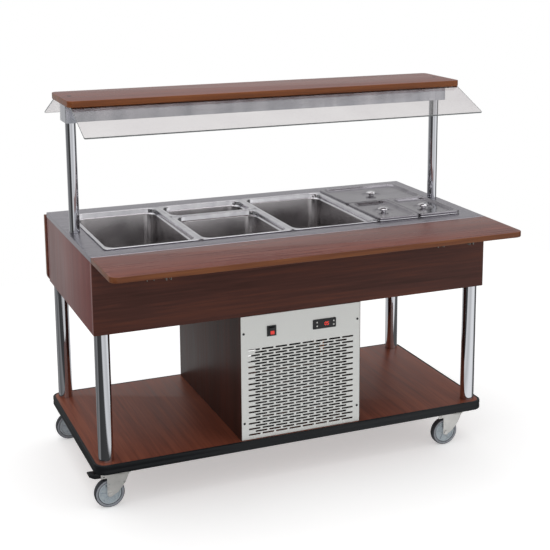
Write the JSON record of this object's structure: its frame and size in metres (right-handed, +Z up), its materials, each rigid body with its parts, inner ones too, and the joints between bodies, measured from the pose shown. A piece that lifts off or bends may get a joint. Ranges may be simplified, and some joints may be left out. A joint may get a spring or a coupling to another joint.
{
  "type": "mobile salad bar",
  "caption": "Refrigerated salad bar on casters: a cold well with gastronorm pans in a laminate box, compressor cabinet, lit canopy with guards, folding tray shelves.",
  "frame": {"origin": "on the floor, under the middle of the whole cart's outline in plan", "axes": "+Z up, +X along the well to the right as seen from the customer side, -Y towards the customer side with the raised tray shelf"},
  "size_m": [1.458, 0.987, 1.32],
  "materials": {
    "laminate": "printed wood-grain laminate on board, satin",
    "dark_laminate": "dark wood-grain laminate on board, satin",
    "edge_laminate": "orange-brown laminate with a matching edge band",
    "rubber_bumper": "black extruded bumper strip",
    "stainless": "stainless sheet, brushed",
    "chrome_tube": "chromed steel tube",
    "zinc": "zinc-plated pressed steel",
    "panel_grey": "light grey powder coat",
    "black_plastic": "moulded black ABS",
    "foam": "rigid polyurethane foam, cream",
    "copper_pipe": "copper pipe",
    "compressor_black": "black enamelled steel",
    "fins": "aluminium fins and plates",
    "motor_grey": "grey painted steel",
    "box_grey": "grey painted steel",
    "fan_plastic": "moulded dark plastic",
    "rocker_red": "translucent red plastic over a lamp",
    "button_pale": "pale moulded plastic",
    "clear_guard": "clear acrylic sheet with polished edges",
    "lamp_glass": "white-coated glass tube",
    "wheel": "grey rubber tyre on a blue-grey moulded hub"
  },
  "bodies": {
    "root": {"base_board": "laminate", "base_bumper": "rubber_bumper", "legs": "chrome_tube", "fasteners": "zinc", "bottom_panel": "dark_laminate", "box_panels": "dark_laminate", "steel_top": "stainless", "well_liner": "stainless", "insulation": "foam", "pan_bars": "stainless", "cabinet_sides": "dark_laminate", "service_panel": "panel_grey", "rear_grille": "panel_grey", "compressor": "compressor_black", "condenser": "fins", "fan_motor": "motor_grey", "refrigerant_pipes": "copper_pipe", "wiring_box": "box_grey", "switch_frame": "black_plastic", "thermostat": "black_plastic", "posts": "chrome_tube", "canopy_shelf": "laminate", "light_housing": "stainless", "lamp_tube": "lamp_glass", "guards": "clear_guard", "wall_plates": "zinc", "caster_plates": "zinc"},
    "front_shelf": {"front_shelf": "edge_laminate", "front_arms": "zinc"},
    "rear_shelf": {"rear_shelf": "edge_laminate", "rear_arms": "zinc"},
    "front_struts": {"front_struts": "zinc"},
    "rear_struts": {"rear_struts": "zinc"},
    "pan_1": {"pan_1": "stainless"},
    "pan_2_front": {"pan_2_front": "stainless"},
    "pan_2_rear": {"pan_2_rear": "stainless"},
    "pan_3": {"pan_3": "stainless"},
    "pan_4_left": {"pan_4_left": "stainless"},
    "pan_4_right": {"pan_4_right": "stainless"},
    "pan_4_rear": {"pan_4_rear": "stainless"},
    "lid_left": {"lid_left": "stainless"},
    "lid_right": {"lid_right": "stainless"},
    "lid_rear": {"lid_rear": "stainless"},
    "drain_plug": {"drain_plug": "black_plastic"},
    "fan": {"fan": "fan_plastic"},
    "rocker": {"rocker": "rocker_red"},
    "button_1": {"button_1": "button_pale"},
    "button_2": {"button_2": "button_pale"},
    "button_3": {"button_3": "button_pale"},
    "button_4": {"button_4": "button_pale"},
    "fork_fl": {"fork_fl": "zinc"},
    "wheel_fl": {"wheel_fl": "wheel"},
    "fork_fr": {"fork_fr": "zinc"},
    "wheel_fr": {"wheel_fr": "wheel"},
    "fork_rl": {"fork_rl": "zinc"},
    "wheel_rl": {"wheel_rl": "wheel"},
    "fork_rr": {"fork_rr": "zinc"},
    "wheel_rr": {"wheel_rr": "wheel"},
    "brake_pedal_fl": {"brake_pedal_fl": "black_plastic"},
    "brake_pedal_rr": {"brake_pedal_rr": "black_plastic"}
  },
  "joints": [
    {"name": "front_fold", "type": "hinge", "parent": "root", "child": "front_shelf", "pos_m": [0, -0.26, 0.8225], "axis": [1, 0, 0], "range_deg": [0, 90]},
    {"name": "rear_fold", "type": "hinge", "parent": "root", "child": "rear_shelf", "pos_m": [0, 0.458, 0.8225], "axis": [1, 0, 0], "range_deg": [0, 90]},
    {"name": "front_strut", "type": "hinge", "parent": "root", "child": "front_struts", "pos_m": [0, -0.252, 0.7725], "axis": [1, 0, 0], "range_deg": [0, 117.8]},
    {"name": "rear_strut", "type": "hinge", "parent": "root", "child": "rear_struts", "pos_m": [0, 0.45, 0.7725], "axis": [1, 0, 0], "range_deg": [0, 117.8]},
    {"name": "pan_1_lift", "type": "slide", "parent": "root", "child": "pan_1", "axis": [0, 0, 1], "range_m": [0, 0.2]},
    {"name": "pan_2_front_lift", "type": "slide", "parent": "root", "child": "pan_2_front", "axis": [0, 0, 1], "range_m": [0, 0.2]},
    {"name": "pan_2_rear_lift", "type": "slide", "parent": "root", "child": "pan_2_rear", "axis": [0, 0, 1], "range_m": [0, 0.2]},
    {"name": "pan_3_lift", "type": "slide", "parent": "root", "child": "pan_3", "axis": [0, 0, 1], "range_m": [0, 0.2]},
    {"name": "pan_4_left_lift", "type": "slide", "parent": "root", "child": "pan_4_left", "axis": [0, 0, 1], "range_m": [0, 0.2]},
    {"name": "pan_4_right_lift", "type": "slide", "parent": "root", "child": "pan_4_right", "axis": [0, 0, 1], "range_m": [0, 0.2]},
    {"name": "pan_4_rear_lift", "type": "slide", "parent": "root", "child": "pan_4_rear", "axis": [0, 0, 1], "range_m": [0, 0.2]},
    {"name": "lid_left_lift", "type": "slide", "parent": "pan_4_left", "child": "lid_left", "axis": [0, 0, 1], "range_m": [0, 0.12]},
    {"name": "lid_right_lift", "type": "slide", "parent": "pan_4_right", "child": "lid_right", "axis": [0, 0, 1], "range_m": [0, 0.12]},
    {"name": "lid_rear_lift", "type": "slide", "parent": "pan_4_rear", "child": "lid_rear", "axis": [0, 0, 1], "range_m": [0, 0.12]},
    {"name": "drain_plug_lift", "type": "slide", "parent": "root", "child": "drain_plug", "axis": [0, 0, 1], "range_m": [0, 0.03]},
    {"name": "fan_spin", "type": "hinge", "parent": "root", "child": "fan", "pos_m": [0, -0.119, 0.289], "axis": [0, 1, 0], "continuous": true},
    {"name": "rocker_tilt", "type": "hinge", "parent": "root", "child": "rocker", "pos_m": [-0.1095, -0.238, 0.541], "axis": [1, 0, 0], "range_deg": [-14, 0]},
    {"name": "button_1_press", "type": "slide", "parent": "root", "child": "button_1", "axis": [0, 1, 0], "range_m": [0, 0.0008], "stiffness_N_per_m": 500},
    {"name": "button_2_press", "type": "slide", "parent": "root", "child": "button_2", "axis": [0, 1, 0], "range_m": [0, 0.0008], "stiffness_N_per_m": 500},
    {"name": "button_3_press", "type": "slide", "parent": "root", "child": "button_3", "axis": [0, 1, 0], "range_m": [0, 0.0008], "stiffness_N_per_m": 500},
    {"name": "button_4_press", "type": "slide", "parent": "root", "child": "button_4", "axis": [0, 1, 0], "range_m": [0, 0.0008], "stiffness_N_per_m": 500},
    {"name": "swivel_fl", "type": "hinge", "parent": "root", "child": "fork_fl", "pos_m": [-0.626, -0.201, 0], "axis": [0, 0, 1], "continuous": true},
    {"name": "wheel_spin_fl", "type": "hinge", "parent": "fork_fl", "child": "wheel_fl", "pos_m": [-0.668, -0.201, 0.05], "axis": [0, 1, 0], "continuous": true},
    {"name": "swivel_fr", "type": "hinge", "parent": "root", "child": "fork_fr", "pos_m": [0.626, -0.201, 0], "axis": [0, 0, 1], "continuous": true},
    {"name": "wheel_spin_fr", "type": "hinge", "parent": "fork_fr", "child": "wheel_fr", "pos_m": [0.584, -0.201, 0.05], "axis": [0, 1, 0], "continuous": true},
    {"name": "swivel_rl", "type": "hinge", "parent": "root", "child": "fork_rl", "pos_m": [-0.626, 0.399, 0], "axis": [0, 0, 1], "continuous": true},
    {"name": "wheel_spin_rl", "type": "hinge", "parent": "fork_rl", "child": "wheel_rl", "pos_m": [-0.668, 0.399, 0.05], "axis": [0, 1, 0], "continuous": true},
    {"name": "swivel_rr", "type": "hinge", "parent": "root", "child": "fork_rr", "pos_m": [0.626, 0.399, 0], "axis": [0, 0, 1], "continuous": true},
    {"name": "wheel_spin_rr", "type": "hinge", "parent": "fork_rr", "child": "wheel_rr", "pos_m": [0.584, 0.399, 0.05], "axis": [0, 1, 0], "continuous": true},
    {"name": "brake_fl", "type": "hinge", "parent": "fork_fl", "child": "brake_pedal_fl", "pos_m": [-0.688, -0.201, 0.112], "axis": [0, -1, 0], "range_deg": [0, 15]},
    {"name": "brake_rr", "type": "hinge", "parent": "fork_rr", "child": "brake_pedal_rr", "pos_m": [0.564, 0.399, 0.112], "axis": [0, -1, 0], "range_deg": [0, 15]}
  ],
  "couplings": [
    {"joint": "front_strut", "follows": "front_fold", "ratio": 1.3072},
    {"joint": "rear_strut", "follows": "rear_fold", "ratio": 1.3072}
  ]
}
